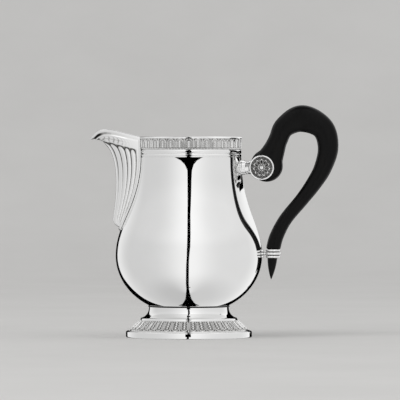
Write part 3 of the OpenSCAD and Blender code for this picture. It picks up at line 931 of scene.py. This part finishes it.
# Small dark cards near the jug: distance forward, then rows of height, middle and half width, in millimetres
NEAR_CARDS = [(42, [(66, 0.2, 0.7), (72, 0.3, 0.9), (84, 1, 1.4), (88.6, 1, 1.8), (92, 0.9, 2.5),
                    (94.1, 0.5, 4.8), (95.6, 0.2, 8.8), (96.7, 0, 15), (97.2, 0, 19)]),
              (42, [(97.3, -0.3, 3.6), (108.5, -0.3, 2.6)]),
              (42, [(0.5, -0.5, 2.2), (3.6, -0.5, 2.2)]),
              (30, [(11, -0.3, 1.9), (16.5, -0.3, 1.7)]),
              (-48, [(4, 35, 25), (50, 35, 25)]),
              (-11, [(81.5, 35, 1), (84.5, 42, 12), (103, 42, 12)])]


def direction(azimuth, elevation):
    """Unit vectors: azimuth 0 points to the camera's side (-Y) and 90 to +X, in degrees."""
    az, el = np.radians(azimuth), np.radians(elevation)
    return np.stack(np.broadcast_arrays(np.sin(az) * np.cos(el), -np.cos(az) * np.cos(el), np.sin(el)), -1)


def only_reflected(obj):
    """The object is seen in the silver and nowhere else."""
    obj.visible_camera = False
    obj.visible_diffuse = False
    obj.visible_transmission = False
    obj.visible_volume_scatter = False
    obj.visible_shadow = False


def glow_material(name, strength=None):
    """Light of one strength, or of the strength stored on the mesh."""
    material = bpy.data.materials.new(name)
    material.use_nodes = True
    material.cycles.emission_sampling = "NONE"
    nodes, links = material.node_tree.nodes, material.node_tree.links
    nodes.clear()
    emit = nodes.new("ShaderNodeEmission")
    out = nodes.new("ShaderNodeOutputMaterial")
    links.new(emit.outputs[0], out.inputs["Surface"])
    if strength is None:
        level = nodes.new("ShaderNodeAttribute")
        level.attribute_name = "glow"
        links.new(level.outputs["Fac"], emit.inputs["Strength"])
    else:
        emit.inputs["Strength"].default_value = strength
    return material


def shell_mesh(name, directions, radius, material, glow=None):
    """Part of a sphere round the object, from a grid of directions."""
    points = directions * radius + np.array([0, 0, 0.06])
    rows, cols = points.shape[:2]
    mesh = bpy.data.meshes.new(name)
    mesh.from_pydata(points.reshape(-1, 3).tolist(), [], grid_faces(rows, cols))
    if glow is not None:
        layer = mesh.attributes.new("glow", "FLOAT", "POINT")
        layer.data.foreach_set("value", glow.astype(np.float32).ravel())
    mesh.materials.append(material)
    only_reflected(add_object(name, mesh))


def tent_glow(azimuth, elevation):
    """Brightness of the white tent: a left and a right wall, brightest beside the gap between them."""
    left = 0.65 + 0.28 * np.exp(-(azimuth / 38) ** 2)
    right = 0.745 + 0.21 * np.exp(-(azimuth / 33) ** 2)
    rear = 0.20 * smoothstep(105, 150, np.abs(azimuth)) * smoothstep(-50, -15, elevation)
    upper = 1 + 0.07 * smoothstep(12, 30, elevation) + 0.45 * smoothstep(42, 50, elevation)
    lower = 1 - 0.16 * smoothstep(-35, -75, elevation)
    ceiling = 1 - 0.9 * smoothstep(58, 70, elevation)
    return (np.where(azimuth < 0, left, right) + rear) * upper * lower * ceiling


def make_tent():
    """The white walls and ceiling of the light tent."""
    el = np.linspace(-90, 90, 121)[:, None]
    az = np.linspace(-180, 180, 241)[None, :]
    shell_mesh("tent", direction(az, el), TENT_R, glow_material("tent_light"), tent_glow(az, el))


def make_cards():
    """Black cards, seen only as the dark lines that they draw in the silver."""
    black = glow_material("black_card", 0)
    side = np.array([[-1, 0, 1]])
    angle, middle, half = np.array(GAP[::-1]).T
    fine = np.linspace(angle[0], angle[-1], 200)
    x = np.interp(fine, angle, middle)[:, None] + np.interp(fine, angle, half)[:, None] * side
    turn, flat = np.radians(fine)[:, None], np.sqrt(1 - x ** 2)
    shell_mesh("gap", np.stack([x, -np.cos(turn) * flat, np.sin(turn) * flat], -1), TENT_R - 0.05, black)

    elevation, left, right = np.array(REAR_CARD).T
    fine = np.linspace(elevation[0], elevation[-1], 60)[:, None]
    share = np.linspace(0, 1, 25)[None, :]
    reach = mix(-np.interp(fine, elevation, right), np.interp(fine, elevation, left), share)
    shell_mesh("rear_card", direction(180 + reach, fine), TENT_R - 0.06, black)

    for forward, rows in NEAR_CARDS:
        height, middle, half = np.array(rows, float).T
        points = np.stack([middle[:, None] + half[:, None] * side, np.full((len(half), 3), -forward, float),
                           height[:, None] + 0 * side], -1)
        card = add_mesh("near_card", points, grid_faces(len(half), 3))
        card.data.materials.append(black)
        only_reflected(card)


def floor_material():
    """Pale matt card, clear from behind so that it hides nothing from outside."""
    n = Nodes("pale_floor")
    mottle = n.noise(9, 5, 0.6)
    n.join(n.ramp(mottle, (0.3, (0.60, 0.595, 0.585)), (0.7, (0.63, 0.625, 0.615))),
           n.shader.inputs["Base Color"])
    n.shader.inputs["Roughness"].default_value = 0.9
    n.shader.inputs["Specular IOR Level"].default_value = 0.1
    out = n.tree.nodes["Material Output"]
    clear = n.add("ShaderNodeBsdfTransparent")
    switch = n.add("ShaderNodeMixShader")
    n.join(n.add("ShaderNodeNewGeometry").outputs["Backfacing"], switch.inputs[0])
    n.join(n.shader.outputs[0], switch.inputs[1])
    n.join(clear.outputs[0], switch.inputs[2])
    n.join(switch.outputs[0], out.inputs["Surface"])
    return n.material


def make_floor():
    """A pale floor that curves up into a wall all round."""
    flat, bend, top = 1.1, 0.9, 4.0
    a = np.radians(np.linspace(-90, 0, 24))
    radius = np.concatenate([[0, 0.3, 0.7], flat + bend * np.cos(a), [flat + bend]])
    height = np.concatenate([[0, 0, 0], bend + bend * np.sin(a), [top]])
    angle = np.linspace(0, 2 * np.pi, 128, endpoint=False)[:, None]
    points = place("z", radius[None] / MM, height[None] / MM, angle)
    floor = add_mesh("floor", points, grid_faces(len(angle), len(radius), True, False), weld=1e-5)
    if floor.data.polygons[0].normal.z < 0:
        floor.data.flip_normals()
    floor.data.materials.append(floor_material())
    floor.visible_glossy = False
    floor.visible_diffuse = False
    floor.visible_shadow = False


def make_lights():
    """A soft white surround and two large soft lights from the front."""
    world = bpy.data.worlds.new("studio")
    bpy.context.scene.world = world
    world.use_nodes = True
    back = world.node_tree.nodes["Background"]
    back.inputs["Color"].default_value = (1, 1, 1, 1)
    back.inputs["Strength"].default_value = 0.72
    target = Vector((0, 0, 0.05))
    for name, spot, size, power in (("key", (-1.3, -1.2, 1.7), 1.4, 14), ("fill", (1.5, -0.8, 1.4), 1.6, 6)):
        light = bpy.data.lights.new(name, "AREA")
        light.size = size
        light.energy = power
        obj = add_object(name, light)
        obj.location = spot
        obj.rotation_euler = (target - Vector(spot)).to_track_quat("-Z", "Y").to_euler()
        obj.visible_camera = False
        obj.visible_glossy = False


def make_camera():
    """A long lens at the height of the neck, square on to the jug's side."""
    eye, target = Vector((0.006, -2.275, 0.088)), Vector((0.006, 0, 0.074))
    view_width = 0.216
    data = bpy.data.cameras.new("camera")
    data.sensor_width = 36
    data.lens = data.sensor_width * abs(eye.y) / view_width
    data.clip_start, data.clip_end = 0.1, 20
    camera = add_object("camera", data)
    camera.location = eye
    camera.rotation_euler = (target - eye).to_track_quat("-Z", "Y").to_euler()
    bpy.context.scene.camera = camera


# ---------------------------------------------------------------- scene

def build():
    """Makes every piece of the jug, and the studio round it."""
    silver, chased = silver_material(), chased_material()
    ebony, brass = ebony_material(), brass_material()
    make_vessel(silver)
    make_rim_wire(silver)
    make_reeds(silver)
    make_rim_band(chased)
    make_foot_band(chased).visible_glossy = False
    make_spout(chased)
    make_lip_wire(silver)
    make_spout_border(silver)
    for piece in (make_foot(silver), make_foot_ring(chased), make_foot_rim(silver)):
        piece.visible_glossy = False
    make_stub(silver)
    make_hub(silver)
    make_rosette("rosette_near", -1, chased, "rosette_front")
    make_rosette("rosette_far", 1, chased, "rosette_back")
    make_pad(chased)
    make_bead(chased)
    make_collar(chased)
    make_handle(ebony)
    make_finial(ebony)
    dress_pins(brass)
    make_tent()
    make_cards()
    make_floor()
    make_lights()
    make_camera()
    bpy.context.scene.view_settings.view_transform = "Standard"


build()
